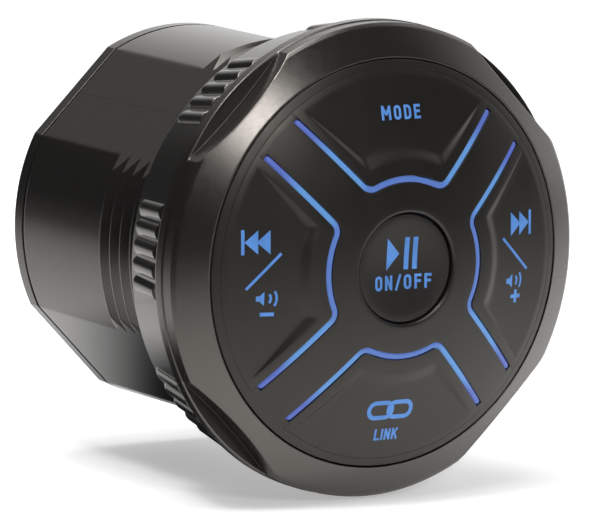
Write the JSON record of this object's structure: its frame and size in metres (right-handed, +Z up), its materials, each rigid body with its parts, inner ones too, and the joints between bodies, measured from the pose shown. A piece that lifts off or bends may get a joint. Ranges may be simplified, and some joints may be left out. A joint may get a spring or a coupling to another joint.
{
  "type": "marine stereo",
  "caption": "Round panel-mounted marine stereo: domed backlit keypad in a scalloped bezel, lobed threaded barrel and a grip-ribbed ring nut that clamps the panel.",
  "frame": {"origin": "centre of the barrel's axis in the plane of the panel's front surface, at the back of the bezel's flange", "axes": "+Y along the barrel, backwards from the face; +Z up; the face looks towards -Y"},
  "size_m": [0.1008, 0.0945, 0.1008],
  "materials": {
    "bezel": "satin black",
    "keypad": "matte black silicone",
    "light": "blue-lit translucent",
    "lamp": "clear blue",
    "case": "satin black",
    "rubber": "matte black",
    "inner_plastic": "matte",
    "board": "solder-mask green",
    "steel": "plain",
    "chip": "matte",
    "metal": "plain"
  },
  "bodies": {
    "set": {"bezel": "bezel", "face_frame": "keypad", "light_guides": "light", "chassis": "inner_plastic", "key_board": "board", "tact_switches": "inner_plastic", "lamps": "lamp", "front_screws": "steel", "board_screws": "steel", "bezel_seal": "rubber", "panel_gasket": "rubber", "barrel": "case", "rear_seal": "rubber", "rear_cover": "case", "rear_screws": "steel", "cable_grommet": "rubber", "main_board": "board", "link_connector": "inner_plastic", "amplifier_chip": "chip", "heat_sink": "metal", "capacitors": "metal", "inductors": "chip", "radio_module": "metal", "wire_terminal": "inner_plastic"},
    "mode": {"mode_key": "keypad"},
    "previous": {"previous_key": "keypad"},
    "next": {"next_key": "keypad"},
    "link": {"link_key": "keypad"},
    "power": {"power_key": "keypad"},
    "washer": {"slip_washer": "case"},
    "nut": {"ring_nut": "case"}
  },
  "joints": [
    {"name": "mode_press", "type": "slide", "parent": "set", "child": "mode", "axis": [0, 1, 0], "range_m": [0, 0.0008], "stiffness_N_per_m": 1500, "springref_m": -0.0006},
    {"name": "previous_press", "type": "slide", "parent": "set", "child": "previous", "axis": [0, 1, 0], "range_m": [0, 0.0008], "stiffness_N_per_m": 1500, "springref_m": -0.0006},
    {"name": "next_press", "type": "slide", "parent": "set", "child": "next", "axis": [0, 1, 0], "range_m": [0, 0.0008], "stiffness_N_per_m": 1500, "springref_m": -0.0006},
    {"name": "link_press", "type": "slide", "parent": "set", "child": "link", "axis": [0, 1, 0], "range_m": [0, 0.0008], "stiffness_N_per_m": 1500, "springref_m": -0.0006},
    {"name": "power_press", "type": "slide", "parent": "set", "child": "power", "axis": [0, 1, 0], "range_m": [0, 0.0008], "stiffness_N_per_m": 1500, "springref_m": -0.0006},
    {"name": "nut_advance", "type": "slide", "parent": "set", "child": "washer", "axis": [0, 1, 0], "range_m": [0, 0.02]},
    {"name": "nut_turn", "type": "hinge", "parent": "washer", "child": "nut", "pos_m": [0, 0.0084, 0], "axis": [0, 1, 0], "range_deg": [0, 1800]}
  ],
  "couplings": [
    {"joint": "nut_advance", "follows": "nut_turn", "m_per_rad": 0.0006366}
  ]
}
